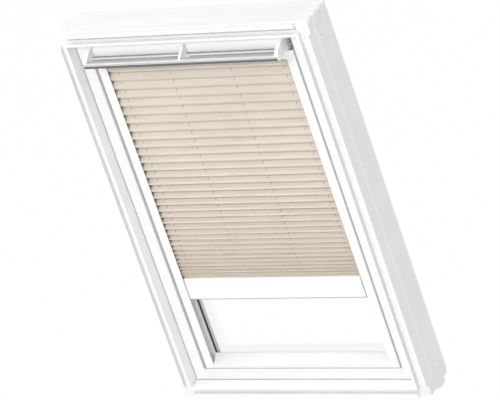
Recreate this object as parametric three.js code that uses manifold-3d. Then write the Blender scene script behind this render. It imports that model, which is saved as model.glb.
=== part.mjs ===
// Centre-pivot roof window with a pleated blind, seen from the room.
// Millimetres, +Z up, +X right, +Y towards the outside.
// Depths are measured from the frame's front nose, insets from the frame's outer edges.
import * as THREE from 'three';
import Module from 'manifold-3d';
import { mergeVertices } from 'three/addons/utils/BufferGeometryUtils.js';

const wasm = await Module();
wasm.setup();

// Driving dimensions of the whole window
const frameWidth = 780;
const frameHeight = 1178;
const frameDepth = 125;
const fitGap = 0.3; // between pieces that touch
const cutOverrun = 2; // how far a cutter runs past what it cuts
const halfWidth = frameWidth / 2;

// Frame section
const noseInner = 36;
const noseWidth = 7;
const grooveWidth = 14.5;
const grooveDepth = 13;
const ridgeWidth = 3;
const stripSetback = 4;
const frameInner = 39.5;
const revealDepth = 34;
const kerfDepth = 43.5;
const kerfWidth = 3;
const kerfCut = 1.6;
const edgeKerfDepth = 16.5;
const cornerSetback = 15;
const cornerLength = 37;
const cornerMitre = 50;

// Finger joints at the frame's corners
const topFingerStart = 22;
const bottomFingerStart = 10.5;
const fingerPitchShare = 0.236; // of the frame's depth
const fingerPitch = fingerPitchShare * frameDepth;
const fingerTipDrop = 4.5;
const fingerTipTaper = 12;
const seamWidth = 2.4;
const seamLength = 37;
const hornLength = 10;
const hornDrop = 12;
const hornToe = 44;
const tipUndercutLength = 28;
const tipUndercutRise = 4;
const tipChamferDepth = 6;
const tipChamferRise = 14;

// Sash
const sashInset = 42;
const sashFront = 34;
const sashRecess = 15; // from the frame's back to the sash's back
const sashFaceWidth = 33.2;
const rebateInset = 87;
const sillRebateInset = 73.5;
const sillExtra = 1;
const sillBevel = 4;
const lipInset = 111;
const sillLipInset = 110;
const lipDepth = 59.5;
const lipThickness = 5;
const sashBack = frameDepth - sashRecess;
const pivotDepth = (sashFront + sashBack) / 2;
const pivotHeight = frameHeight / 2;
const sashTopFront = 52;
const sashTopUnderside = 91;

// Glass unit
const paneThickness = 4;
const paneGap = 16;
const paneMargin = 2.5; // round the pane in its rebate
const paneSeat = 0.5;
const gasketThickness = 1.2;
const gasketMargin = 6.5;
const gasketProud = 5;
const gasketSetback = 1.5;
const spacerWidth = 12;
const spacerProud = 1;
const spacerMargin = 5;
const paneInset = rebateInset + paneMargin;
const paneBottomInset = sillRebateInset + paneSeat;
const gasketInset = paneInset + gasketMargin;
const spacerInner = lipInset + spacerProud;
const spacerBottomInset = paneBottomInset + spacerMargin;
const glassFront = lipDepth + lipThickness + fitGap + gasketThickness + fitGap;
const glassBack = glassFront + paneThickness + paneGap + paneThickness;

// Outside covers
const sheet = 1.2;
const coverInset = 44;
const coverHeight = 10;
const coverOverlap = 14; // over the glass, from the edge of the rebate
const coverTopInset = 54;
const coverLip = 7;
const stopInset = 52;
const stopDepth = 12;
const sealMargin = 1.2;
const frameCoverInset = 6;
const bottomCoverInset = 18.5;
const frameCoverReach = 37;
const frameCoverHeight = 6;
const frameCoverBevel = 3;
const hoodInset = 9;
const hoodSideInset = 18;
const hoodHeight = 24;
const hoodSlope = 15;
const hoodReach = 62;
const hoodLip = 8;

// Pivot hinges
const hingeLength = 110;
const hingeWidth = 26;
const hingePlate = 2;
const pinRadius = 7;
const pinLength = 9;
const turningGap = 0.05; // between a pin and the flats of the bore it turns in
const bushRadius = 10;
const bushLength = 12;
const roundSides = 24;

// Ventilation flap and control bar
// The flap closes the slot over the sash's head. Its heights are measured down from the frame's top.
const flapAxisDepth = 40;
const flapAxisDrop = 78;
const flapAxisHeight = frameHeight - flapAxisDrop;
const flapSideMargin = 90;
const flapSpan = frameWidth - 2 * flapSideMargin;
const capDrop = 46;
const capHeight = frameHeight - capDrop;
const flapFootDrop = 81;
const flapFoot = frameHeight - flapFootDrop;
const flapFront = 16.6;
const flapSweep = 7.4;
const flapSkin = 2.5;
const flapLipFront = 7.5;
const flapLipThickness = 3.4;
const flapSlotDepth = 8;
const flapRoofEnd = 44;
const armWidth = 10.5;
const middleArmWidth = 6;
const armNoseSetback = 2;
const armReach = 39.5;
const armFootRise = 6.5;
const armRise = 31.5;
const armHeel = 45.5;
const barDepth = 17;
const barHeight = 18;
const barFront = -32;
const barDrop = 90;
const barBase = frameHeight - barDrop;
const barWall = 2;
const barBulge = 9.4;
const barCorner = 2;
const barSteps = 10;
const barCapThickness = 1.5;
const flapPinRadius = 2.5;
const flapPinLength = 5;
const earThickness = 3;
const earReach = 8;
const earOffset = 1.5;

// Latch
const latchWidth = 90;
const latchDepth = 30;
const latchHeight = 34;
const latchWall = 3;
const latchBoltWidth = 40;
const latchBoltDepth = 12;
const latchTravel = 8;
const latchProud = 1.2;
const strikeLength = 110;
const strikeDepth = 36;
const strikeThickness = 1.6;
const strikeSlack = 12;
const filterThickness = 3;
const filterHeight = 30;

// Blind: side rails, head rail, bottom rail and cloth
const railOuter = 82;
const railInner = 109.8;
const railFront = 35.3;
const railShoulder = 4.5;
const railWall = 1.6;
const railSlot = 3.1;
const railSlotLip = 1.6;
const railTopDrop = 95;
const railTop = frameHeight - railTopDrop;
const footThickness = 1.5;
const footPlug = 12;
const headRailHeight = 27.7;
const headRailSlot = 10;
const clipWidth = 30;
const clipOffsetShare = 0.68; // of half the head rail
const bottomRailBase = 310;
const bottomRailHeight = 64;
const bottomRailFront = 36.5;
const bottomRailDepth = 21;
const bottomRailWall = 1.6;
const bottomRailCrown = 1.2;
const cornerRound = 2;
const gripProud = 1.7;
const gripHeight = 5;
const endCapThickness = 3;
const runningGap = 0.7;
const gliderReach = 20;
const gliderHeight = 36;
const gliderThickness = 2.1;
const clothFront = 39;
const clothThickness = 1.2;
const pleatPanel = 19.4;
const pleatCount = 33;
const pleatPitchShare = 0.0407; // of the cloth's drop
const pleatLossShare = 0.694;
const pleatLossPower = 1.6;
const firstCreaseDrop = 12;

// Sill bead under the blind
const beadHeight = 12;
const beadSetback = 1.5;

// Finishes
const finish = (color, roughness, metalness = 0, opacity = 1) => new THREE.MeshStandardMaterial({
  color, roughness, metalness, opacity, transparent: opacity < 1,
});
const whiteLacquer = finish(0xf4f4f2, 0.45);
const whitePlastic = finish(0xf6f6f6, 0.35);
const aluminium = finish(0xc9cbcd, 0.3, 0.9);
const greyCover = finish(0x5a5d60, 0.45, 0.4);
const blackRubber = finish(0x1c1c1c, 0.8);
const zincSteel = finish(0xb5b8ba, 0.4, 0.8);
const clearGlass = finish(0xeaf2ef, 0.05, 0, 0.3);
const beigeCloth = finish(0xe2d6c8, 0.9);
const greyFoam = finish(0x777a7c, 0.95);

const object = new THREE.Group();
object.position.y = -frameDepth / 2;

// Turns a closed three.js geometry into a solid that can be cut and joined
function solid(geometry) {
  const bare = geometry.clone();
  bare.deleteAttribute('normal');
  bare.deleteAttribute('uv');
  const merged = mergeVertices(bare, 1e-4);
  return new wasm.Manifold(new wasm.Mesh({
    numProp: 3,
    vertProperties: new Float32Array(merged.attributes.position.array),
    triVerts: new Uint32Array(merged.index.array),
  }));
}

function geometryOf(shape) {
  const mesh = shape.getMesh();
  const geometry = new THREE.BufferGeometry();
  geometry.setAttribute('position', new THREE.BufferAttribute(new Float32Array(mesh.vertProperties), 3));
  geometry.setIndex(new THREE.BufferAttribute(new Uint32Array(mesh.triVerts), 1));
  return geometry;
}

// An outline drawn in the plane across an axis, pushed along that axis from one place to another.
// Across Z it is given as [x, y], across X as [y, z] and across Y as [z, x].
const planes = {
  z: new THREE.Matrix4(),
  x: new THREE.Matrix4().makeBasis(
    new THREE.Vector3(0, 1, 0), new THREE.Vector3(0, 0, 1), new THREE.Vector3(1, 0, 0)),
  y: new THREE.Matrix4().makeBasis(
    new THREE.Vector3(0, 0, 1), new THREE.Vector3(1, 0, 0), new THREE.Vector3(0, 1, 0)),
};

function turned(outline) {
  const points = outline.map(([a, b]) => new THREE.Vector2(a, b));
  return THREE.ShapeUtils.isClockWise(points) ? points.reverse() : points;
}

function prism(axis, outline, from, to, holes = []) {
  const shape = new THREE.Shape(turned(outline));
  for (const hole of holes) {
    shape.holes.push(new THREE.Path(turned(hole)));
  }
  const geometry = new THREE.ExtrudeGeometry(shape, { depth: to - from, bevelEnabled: false });
  geometry.translate(0, 0, from);
  return geometry.applyMatrix4(planes[axis]);
}

function block([x0, x1], [y0, y1], [z0, z1]) {
  return solid(prism('z', [[x0, y0], [x1, y0], [x1, y1], [x0, y1]], z0, z1));
}

const inOrder = (a, b) => [Math.min(a, b), Math.max(a, b)];

function drum(radius, from, to, depth, height) {
  const outline = [];
  for (let side = 0; side < roundSides; side += 1) {
    const angle = 2 * Math.PI * side / roundSides;
    outline.push([depth + radius * Math.cos(angle), height + radius * Math.sin(angle)]);
  }
  return solid(prism('x', outline, from, to));
}

// The outline radius of a bore whose flats clear a round pin by the turning gap
const boreFor = (radius) => (radius + turningGap) / Math.cos(Math.PI / roundSides);

function add(name, shape, material) {
  const body = shape.isBufferGeometry ? solid(shape) : shape;
  const mesh = new THREE.Mesh(geometryOf(body), material);
  mesh.name = name;
  object.add(mesh);
}

// A section drawn as [inset, depth] becomes an upright on either side, or a rail at top or bottom
const sideX = { left: (inset) => inset - halfWidth, right: (inset) => halfWidth - inset };
const railZ = { bottom: (inset) => inset, top: (inset) => frameHeight - inset };

const acrossSide = (side, outer, inner) => inOrder(sideX[side](outer), sideX[side](inner));
const acrossRail = (edge, outer, inner) => inOrder(railZ[edge](outer), railZ[edge](inner));

function upright(side, section, from, to) {
  return prism('z', section.map(([inset, depth]) => [sideX[side](inset), depth]), from, to);
}

function rail(edge, section, inset) {
  const outline = section.map(([drop, depth]) => [depth, railZ[edge](drop)]);
  return prism('x', outline, sideX.left(inset), sideX.right(inset));
}

// The wedge of space that belongs to one side of a mitred ring between two insets.
// The foot share is the slope of the lower mitres where the ring's foot is narrower than its sides.
function mitreWedge(edge, start, reach, from, to, footShare = 1) {
  const gap = fitGap / Math.SQRT2;
  const low = start - cutOverrun;
  const high = reach + cutOverrun;
  const foot = (inset) => start + footShare * (inset - start);
  if (edge === 'left' || edge === 'right') {
    const x = sideX[edge];
    return solid(prism('y', [
      [foot(low) + gap, x(low)], [railZ.top(low + gap), x(low)],
      [railZ.top(high + gap), x(high)], [foot(high) + gap, x(high)],
    ], from, to));
  }
  const z = edge === 'top' ? railZ.top : foot;
  return solid(prism('y', [
    [z(low), sideX.left(low + gap)], [z(low), sideX.right(low + gap)],
    [z(high), sideX.right(high + gap)], [z(high), sideX.left(high + gap)],
  ], from, to));
}

function ringOutline(side, bottom, top) {
  return [
    [bottom, sideX.left(side)], [bottom, sideX.right(side)],
    [frameHeight - top, sideX.right(side)], [frameHeight - top, sideX.left(side)],
  ];
}

const bothSides = ['left', 'right'];
const away = { left: -1, right: 1 };

// Frame: four lacquered members, finger jointed behind the corner setback
const grooveInner = noseInner - noseWidth;
const grooveOuter = grooveInner - grooveWidth;
const stripWidth = grooveOuter - ridgeWidth;
const frameSection = (kerf) => [
  [0, stripSetback], [stripWidth, stripSetback], [stripWidth, 0], [grooveOuter, 0],
  [grooveOuter, grooveDepth], [grooveInner, grooveDepth], [grooveInner, 0], [noseInner, 0],
  [frameInner, revealDepth], [frameInner, frameDepth], [0, frameDepth],
  [0, kerf + kerfWidth], [kerfCut, kerf + kerfWidth / 2], [0, kerf],
];

// Depths where the fingers of the uprights lie, at the top and at the bottom
const fingerStarts = { top: topFingerStart, bottom: bottomFingerStart };

function uprightFingers(edge) {
  return [0, 2 * fingerPitch].map((step) => {
    const start = fingerStarts[edge] + step;
    return [Math.max(start, cornerSetback), start + fingerPitch];
  });
}

// The horn is the tip of the upright's rear finger, which the saw leaves below the bottom member
function horn(side) {
  const [near, far] = uprightFingers('bottom')[1];
  const outline = [
    [far - fitGap / 2, cornerMitre], [far - fitGap / 2, -hornDrop], [near + fitGap / 2, -hornLength],
    [hornToe, -fitGap], [near + fitGap / 2, -fitGap], [near + fitGap / 2, cornerMitre],
  ];
  const [from, to] = acrossSide(side, -cutOverrun, cornerMitre);
  return solid(prism('x', outline, from, to));
}

// At the top corners the fingers' tips are tapered, and a fine groove follows each seam on the face
function topSeamCuts(side) {
  const seams = uprightFingers('top').flat();
  const tipCut = fingerTipDrop / Math.SQRT2;
  const cornerX = sideX[side](0);
  const across = acrossSide(side, -cutOverrun, seamLength);
  let cuts = null;
  for (const seam of seams) {
    const tip = prism('x', [
      [seam - fingerTipTaper * (1 + cutOverrun / tipCut), cutOverrun],
      [seam + fingerTipTaper * (1 + cutOverrun / tipCut), cutOverrun], [seam, -tipCut],
    ], -fingerTipTaper, fingerTipTaper);
    tip.rotateY(away[side] * Math.PI / 4).translate(cornerX, 0, frameHeight);
    const groove = prism('x', [
      [seam - seamWidth / 2 - cutOverrun, frameHeight + cutOverrun],
      [seam + seamWidth / 2 + cutOverrun, frameHeight + cutOverrun], [seam, frameHeight - seamWidth / 2],
    ], across[0], across[1]);
    const cut = solid(tip).add(solid(groove));
    cuts = cuts ? cuts.add(cut) : cut;
  }
  return cuts;
}

// At the bottom corners the rear finger of the rail is cut away below and behind
function tipUndercut(side) {
  const start = frameDepth - tipUndercutLength;
  const [from, to] = acrossSide(side, -cutOverrun, seamLength);
  return solid(prism('x', [
    [start, -cutOverrun], [start, tipUndercutRise], [frameDepth - tipChamferDepth, tipUndercutRise],
    [frameDepth, tipUndercutRise + tipChamferRise], [frameDepth + cutOverrun, tipUndercutRise + tipChamferRise],
    [frameDepth + cutOverrun, -cutOverrun],
  ], from, to));
}

function frameUpright(side) {
  const full = solid(upright(side, frameSection(kerfDepth), -hornDrop - cutOverrun, frameHeight));
  const x = acrossSide(side, -cutOverrun, cornerMitre);
  const coreEnd = frameInner + fitGap;
  let own = mitreWedge(side, 0, cornerMitre, -cutOverrun, cornerSetback - fitGap / 2);
  own = own.add(block(x, [cornerSetback - fitGap, frameDepth + cutOverrun],
    [coreEnd, frameHeight - coreEnd]));
  for (const edge of ['top', 'bottom']) {
    for (const [near, far] of uprightFingers(edge)) {
      own = own.add(block(x, [near + fitGap / 2, far - fitGap / 2], acrossRail(edge, 0, cornerMitre)));
    }
  }
  let member = full.intersect(own.add(horn(side)));
  const outside = acrossSide(side, -cutOverrun, grooveInner);
  for (const edge of ['top', 'bottom']) {
    const corner = acrossRail(edge, -cutOverrun, cornerLength);
    member = member.subtract(block(outside, [-cutOverrun, cornerSetback], corner));
  }
  member = member.subtract(topSeamCuts(side));
  const pocketHalf = hingeLength / 2 + fitGap;
  return member.subtract(block(acrossSide(side, frameInner - hingePlate, frameInner + cutOverrun),
    [pivotDepth - hingeWidth / 2 - fitGap, pivotDepth + hingeWidth / 2 + fitGap],
    [pivotHeight - pocketHalf, pivotHeight + pocketHalf]));
}

function frameRail(edge) {
  const full = solid(rail(edge, frameSection(edgeKerfDepth), 0));
  const z = acrossRail(edge, -cutOverrun, cornerMitre);
  const wholeWidth = [sideX.left(-cutOverrun), sideX.right(-cutOverrun)];
  const coreEnd = frameInner + fitGap;
  let own = mitreWedge(edge, 0, cornerMitre, -cutOverrun, cornerSetback - fitGap / 2);
  own = own.add(block([sideX.left(coreEnd), sideX.right(coreEnd)],
    [cornerSetback - fitGap, frameDepth + cutOverrun], z));
  const seams = [cornerSetback, ...uprightFingers(edge).flat(), frameDepth + cutOverrun];
  for (let pair = 0; pair < seams.length; pair += 2) {
    if (seams[pair + 1] - seams[pair] > fitGap) {
      own = own.add(block(wholeWidth, [seams[pair] + fitGap / 2, seams[pair + 1] - fitGap / 2], z));
    }
  }
  let member = full.intersect(own);
  const outside = acrossRail(edge, -cutOverrun, grooveInner);
  for (const side of bothSides) {
    const corner = acrossSide(side, -cutOverrun, cornerLength);
    member = member.subtract(block(corner, [-cutOverrun, cornerSetback], outside));
    member = member.subtract(edge === 'top' ? topSeamCuts(side) : tipUndercut(side));
  }
  return edge === 'top' ? member.subtract(strikePocket) : member;
}

// The strike plate is let into the underside of the frame's head, over the latch
const latchCentre = (sashTopFront + sashBack) / 2;
const headUnderside = railZ.top(frameInner);
const strikePocket = block([-strikeLength / 2 - fitGap, strikeLength / 2 + fitGap],
  [latchCentre - strikeDepth / 2 - fitGap, latchCentre + strikeDepth / 2 + fitGap],
  [headUnderside - cutOverrun, headUnderside + strikeThickness]);

for (const edge of ['top', 'bottom']) {
  add(`frame_${edge}`, frameRail(edge), whiteLacquer);
}
for (const side of bothSides) {
  add(`frame_${side}`, frameUpright(side), whiteLacquer);
}

// The strike plate has a slot over the latch
const rectangle = (width, depth, middle) => [
  [-width / 2, middle - depth / 2], [width / 2, middle - depth / 2],
  [width / 2, middle + depth / 2], [-width / 2, middle + depth / 2],
];
add('strike_plate', prism('z', rectangle(strikeLength, strikeDepth, latchCentre),
  headUnderside, headUnderside + strikeThickness - fitGap,
  [rectangle(latchBoltWidth + strikeSlack, latchBoltDepth + strikeSlack, latchCentre)]), zincSteel);

// Outside stop of the head, with the seal that the sash closes against
const stopFront = frameDepth - stopDepth;
add('stop_rib', rail('top', [
  [frameInner + fitGap, stopFront], [stopInset, stopFront], [stopInset, frameDepth],
  [frameInner + fitGap, frameDepth],
], frameInner + fitGap), whiteLacquer);
add('top_seal', rail('top', [
  [frameInner + sealMargin, sashBack + fitGap], [stopInset - sealMargin, sashBack + fitGap],
  [stopInset - sealMargin, stopFront - fitGap], [frameInner + sealMargin, stopFront - fitGap],
], sashInset), blackRubber);

// Outside covers of the frame: three bevelled strips and the hood over the top
const outsideFace = frameDepth + fitGap;
const frameCoverTop = outsideFace + frameCoverHeight;
const frameCoverSection = (outer) => [
  [outer, outsideFace], [outer + frameCoverBevel, frameCoverTop], [frameCoverReach, frameCoverTop],
  [frameCoverReach, outsideFace], [frameCoverReach - sheet, outsideFace],
  [frameCoverReach - sheet, frameCoverTop - sheet], [outer + frameCoverBevel + sheet, frameCoverTop - sheet],
  [outer + 2 * sheet, outsideFace + sheet / 2], [outer + 2 * sheet, outsideFace],
];
for (const side of bothSides) {
  add(`frame_cover_${side}`, upright(side, frameCoverSection(frameCoverInset),
    frameCoverReach + fitGap, railZ.top(hoodReach + fitGap)), greyCover);
}
add('frame_cover_bottom', rail('bottom', frameCoverSection(bottomCoverInset), frameCoverInset), greyCover);

const hoodSection = [
  [hoodInset, outsideFace], [hoodInset + hoodSlope, outsideFace + hoodHeight],
  [hoodReach, outsideFace + hoodHeight], [hoodReach, outsideFace + hoodHeight - hoodLip],
  [hoodReach - sheet, outsideFace + hoodHeight - hoodLip],
  [hoodReach - sheet, outsideFace + hoodHeight - sheet],
  [hoodInset + hoodSlope + sheet / 2, outsideFace + hoodHeight - sheet],
  [hoodInset + 2 * sheet, outsideFace + sheet],
  [frameInner - sheet, outsideFace + sheet], [frameInner - sheet, outsideFace],
];
add('top_hood', rail('top', hoodSection, hoodSideInset), greyCover);

// Sash: two full-height stiles with a head and a sill between them
const stileSection = [
  [sashInset, sashFront], [sashInset + sashFaceWidth, sashFront], [sashInset + sashFaceWidth, lipDepth],
  [lipInset, lipDepth], [lipInset, lipDepth + lipThickness], [rebateInset, lipDepth + lipThickness],
  [rebateInset, sashBack], [sashInset, sashBack],
];
const sashFaceEnd = sashInset + sashFaceWidth;
const sillLip = sashFaceEnd + sillExtra;
const lipTop = sillLipInset;
const headSection = [
  [sashInset, sashTopFront], [sashTopUnderside, sashTopFront], [sashTopUnderside, lipDepth],
  [lipInset, lipDepth], [lipInset, lipDepth + lipThickness], [rebateInset, lipDepth + lipThickness],
  [rebateInset, sashBack], [sashInset, sashBack],
];
const sillSection = [
  [sashInset, sashFront], [sillLip, sashFront], [sillLip, lipDepth], [lipTop - sillBevel, lipDepth],
  [lipTop, lipDepth + lipThickness], [sillRebateInset, lipDepth + lipThickness],
  [sillRebateInset, sashBack], [sashInset, sashBack],
];

function sashStile(side) {
  let stile = solid(upright(side, stileSection, sashInset, railZ.top(sashInset)));
  const lipX = acrossSide(side, sashFaceEnd + fitGap / 2, lipInset + cutOverrun);
  const lipY = [lipDepth - cutOverrun, lipDepth + lipThickness];
  stile = stile.subtract(block(lipX, lipY, [sashInset - cutOverrun, lipTop + fitGap]));
  stile = stile.subtract(block(lipX, lipY,
    [railZ.top(lipInset + fitGap), railZ.top(sashInset - cutOverrun)]));
  stile = stile.subtract(block(acrossSide(side, sashInset - cutOverrun, sashInset + hingePlate + fitGap),
    [pivotDepth - hingeWidth / 2 - fitGap, pivotDepth + hingeWidth / 2 + fitGap],
    [pivotHeight - hingeLength / 2 - fitGap, pivotHeight + hingeLength / 2 + fitGap]));
  const [from, to] = acrossSide(side, sashInset - cutOverrun, sashInset + bushLength + fitGap);
  return stile.subtract(drum(bushRadius + fitGap, from, to, pivotDepth, pivotHeight));
}

function sashRail(edge, section) {
  let member = solid(rail(edge, section, sashFaceEnd + fitGap));
  const z = acrossRail(edge, sashInset - cutOverrun, lipTop + cutOverrun);
  for (const side of bothSides) {
    member = member.subtract(block(acrossSide(side, sashFaceEnd - cutOverrun, rebateInset + fitGap),
      [lipDepth + lipThickness - fitGap, sashBack + cutOverrun], z));
  }
  return member;
}

for (const side of bothSides) {
  add(`sash_${side}`, sashStile(side), whiteLacquer);
}
add('sash_bottom', sashRail('bottom', sillSection), whiteLacquer);

// The sash's head has a pocket for the latch casing
const latchFloor = railZ.top(sashInset) - latchHeight;
const latchFront = latchCentre - latchDepth / 2;
const latchBackDepth = latchCentre + latchDepth / 2;
const sashHead = sashRail('top', headSection).subtract(block(
  [-latchWidth / 2 - fitGap, latchWidth / 2 + fitGap],
  [latchFront - fitGap, latchBackDepth + fitGap],
  [latchFloor - fitGap, railZ.top(sashInset) + cutOverrun]));
add('sash_top', sashHead, whiteLacquer);

// Latch casing, open at the top round the bolt, and the bolt that the control bar draws down
const casingTop = railZ.top(sashInset);
let casing = block([-latchWidth / 2, latchWidth / 2], [latchFront, latchBackDepth], [latchFloor, casingTop]);
casing = casing.subtract(block([-latchBoltWidth / 2 - fitGap, latchBoltWidth / 2 + fitGap],
  [latchCentre - latchBoltDepth / 2 - fitGap, latchCentre + latchBoltDepth / 2 + fitGap],
  [latchFloor + latchWall, casingTop + cutOverrun]));
add('latch_casing', casing, zincSteel);
const boltTop = casingTop + latchProud;
const boltFloor = latchFloor + latchWall + latchTravel + fitGap;
const boltOutline = [
  [latchCentre - latchBoltDepth / 2, boltFloor], [latchCentre + latchBoltDepth / 2, boltFloor],
  [latchCentre + latchBoltDepth / 2, boltTop - latchProud * 3], [latchCentre + latchBoltDepth / 4, boltTop],
  [latchCentre - latchBoltDepth / 2, boltTop],
];
add('latch_bolt', prism('x', boltOutline, -latchBoltWidth / 2, latchBoltWidth / 2), zincSteel);

// Glass unit, its spacer and its gaskets
function ring(outer, inner, from, to) {
  return prism('y', ringOutline(...outer), from, to, [ringOutline(...inner)]);
}
const paneOutline = ringOutline(paneInset, paneBottomInset, paneInset);
const gapFront = glassFront + paneThickness;
add('inner_pane', prism('y', paneOutline, glassFront, gapFront), clearGlass);
add('outer_pane', prism('y', paneOutline, gapFront + paneGap, glassBack), clearGlass);
const spacerOuter = spacerInner - spacerWidth;
add('pane_spacer', ring([spacerOuter, spacerBottomInset, spacerOuter],
  [spacerInner, spacerBottomInset + spacerWidth, spacerInner],
  gapFront + fitGap, gapFront + paneGap - fitGap), zincSteel);
const gasketInner = lipInset + gasketProud;
add('inner_gasket', ring([gasketInset, gasketInset, gasketInset],
  [gasketInner, sillLipInset - gasketSetback, gasketInner],
  glassFront - fitGap - gasketThickness, glassFront - fitGap), blackRubber);
add('outer_gasket', ring([paneInset + fitGap, paneBottomInset + fitGap, paneInset + fitGap],
  [rebateInset + coverOverlap, sillRebateInset + coverOverlap, rebateInset + coverOverlap],
  glassBack + fitGap, glassBack + fitGap + gasketThickness), blackRubber);

// Sash covers: they hold the glass from outside
const coverFoot = glassBack + gasketThickness + 2 * fitGap;
const coverSeat = sashBack + fitGap;
const coverTop = coverSeat + coverHeight;
function coverSection(outer, rebate) {
  const shelfEnd = rebate + fitGap + sheet / 2;
  const reach = rebate + coverOverlap;
  return [
    [outer, coverSeat], [outer, coverTop], [shelfEnd, coverTop], [reach, coverFoot + coverLip],
    [reach, coverFoot], [reach - sheet, coverFoot], [reach - sheet, coverFoot + coverLip - sheet / 2],
    [shelfEnd - sheet / 2, coverTop - sheet], [outer + sheet, coverTop - sheet], [outer + sheet, coverSeat],
  ];
}
const sideCover = coverSection(coverInset, rebateInset);
const coverStrips = {
  left: upright('left', sideCover, coverInset, railZ.top(coverTopInset)),
  right: upright('right', sideCover, coverInset, railZ.top(coverTopInset)),
  top: rail('top', coverSection(coverTopInset, rebateInset), coverInset),
  bottom: rail('bottom', coverSection(coverInset, sillRebateInset), coverInset),
};
const coverReach = rebateInset + coverOverlap;
const bottomCoverReach = sillRebateInset + coverOverlap;
const coverFootShare = (bottomCoverReach - coverInset) / (coverReach - coverInset);
for (const [place, strip] of Object.entries(coverStrips)) {
  const wedge = mitreWedge(place, coverInset, coverReach, coverFoot - cutOverrun, coverTop + cutOverrun,
    coverFootShare);
  add(`sash_cover_${place}`, solid(strip).intersect(wedge), greyCover);
}

// Pivot hinges: a pin on the frame's plate turns in a bush on the sash's plate
const plateZ = [pivotHeight - hingeLength / 2, pivotHeight + hingeLength / 2];
const plateY = [pivotDepth - hingeWidth / 2, pivotDepth + hingeWidth / 2];
for (const side of bothSides) {
  const framePlateOuter = frameInner - hingePlate + fitGap;
  const pin = acrossSide(side, framePlateOuter, frameInner + pinLength);
  add(`frame_hinge_${side}`, block(acrossSide(side, framePlateOuter, frameInner), plateY, plateZ)
    .add(drum(pinRadius, pin[0], pin[1], pivotDepth, pivotHeight)), zincSteel);
  const bush = acrossSide(side, sashInset, sashInset + bushLength);
  const hole = acrossSide(side, sashInset - cutOverrun, sashInset + bushLength + cutOverrun);
  add(`sash_hinge_${side}`, block(acrossSide(side, sashInset, sashInset + hingePlate), plateY, plateZ)
    .add(drum(bushRadius, bush[0], bush[1], pivotDepth, pivotHeight))
    .subtract(drum(boreFor(pinRadius), hole[0], hole[1], pivotDepth, pivotHeight)), zincSteel);
}

// Ventilation flap: a hollow-faced cover, webbed arms and the aluminium control bar
const faceShares = [[1, 1], [0.46, 0.83], [0.108, 0.545], [0, 0.26], [0.14, 0.19]];
const shaped = (shares, [from, width], [base, rise]) => shares.map(
  ([along, up]) => [from + along * width, base + up * rise]);
const flapFace = shaped(faceShares, [flapFront, flapSweep], [flapFoot, capHeight - flapFoot]);
const [mouthDepth, mouthHeight] = flapFace[flapFace.length - 1];
const flapInside = flapFace.slice(1, -1).map(([depth, height]) => [depth + flapSkin, height]).reverse();
const slotEnd = mouthDepth + flapSlotDepth;
const lipTopHeight = flapFoot + flapLipThickness;
const flapOutline = [
  ...flapFace, [slotEnd, mouthHeight], [slotEnd, lipTopHeight], [flapLipFront, lipTopHeight],
  [flapLipFront, flapFoot + flapLipThickness / 3], [flapLipFront + flapLipThickness, flapFoot],
  [slotEnd + flapSkin, flapFoot], [slotEnd + flapSkin, flapInside[0][1]], ...flapInside,
  [flapFront + flapSweep + flapSkin, capHeight - flapSkin], [flapRoofEnd, capHeight - flapSkin],
  [flapRoofEnd, capHeight],
];
const halfSpan = flapSpan / 2;
const coverSpan = halfSpan - armWidth - fitGap;
add('flap_cover', prism('x', flapOutline, -coverSpan, coverSpan), whitePlastic);

const barMiddle = barBase + barHeight / 2;
const barBack = barFront + barDepth;
const barCurve = barFront + barBulge;

function barSection(wall) {
  const points = [];
  for (let step = 0; step <= barSteps; step += 1) {
    const angle = Math.PI / 2 + Math.PI * step / barSteps;
    points.push([
      barCurve + (barBulge - wall) * Math.cos(angle),
      barMiddle + (barHeight / 2 - wall) * Math.sin(angle),
    ]);
  }
  const corner = barCorner + wall;
  points.push([barBack - wall, barBase + corner], [barBack - wall, barBase + barHeight - corner]);
  return points;
}
const barLength = halfSpan - barCapThickness - fitGap;
add('control_bar', prism('x', barSection(0), -barLength, barLength, [barSection(barWall)]), aluminium);

// The arms' front edge sweeps down and forward to the bar, then back under it
const armFrontShares = [
  [1, 1], [0.658, 0.889], [0.362, 0.721], [0.127, 0.483], [0.025, 0.317], [0, 0.143], [0.405, 0],
  [0.651, 0.111],
];
const heelShares = [[0.505, 0.253], [0.651, 0.154], [0.811, 0.033], [1, 0], [1, 1], [0.676, 1]];
const armNose = barFront + armNoseSetback;
const armFront = shaped(armFrontShares, [armNose, armReach], [barBase + armFootRise, armRise]);
const endArm = [...armFront,
  ...shaped(heelShares, [armNose, flapRoofEnd - armNose], [capHeight - armHeel, armHeel])];
const middleArm = [...armFront, [flapLipFront, flapFoot + flapLipThickness / 2], [mouthDepth, lipTopHeight],
  [flapFront + flapSweep, armFront[0][1]]];
const barRoom = solid(prism('x', barSection(-fitGap), -halfSpan - cutOverrun, halfSpan + cutOverrun));
const flapRoom = solid(prism('x', [
  ...flapFace.slice(0, -1).map(([depth, height]) => [depth - fitGap, height]),
  [mouthDepth - fitGap, lipTopHeight + fitGap], [flapLipFront - fitGap, lipTopHeight + fitGap],
  [flapLipFront - fitGap, flapFoot - fitGap], [flapRoofEnd, flapFoot - fitGap], [flapRoofEnd, capHeight],
], -coverSpan, coverSpan));

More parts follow.
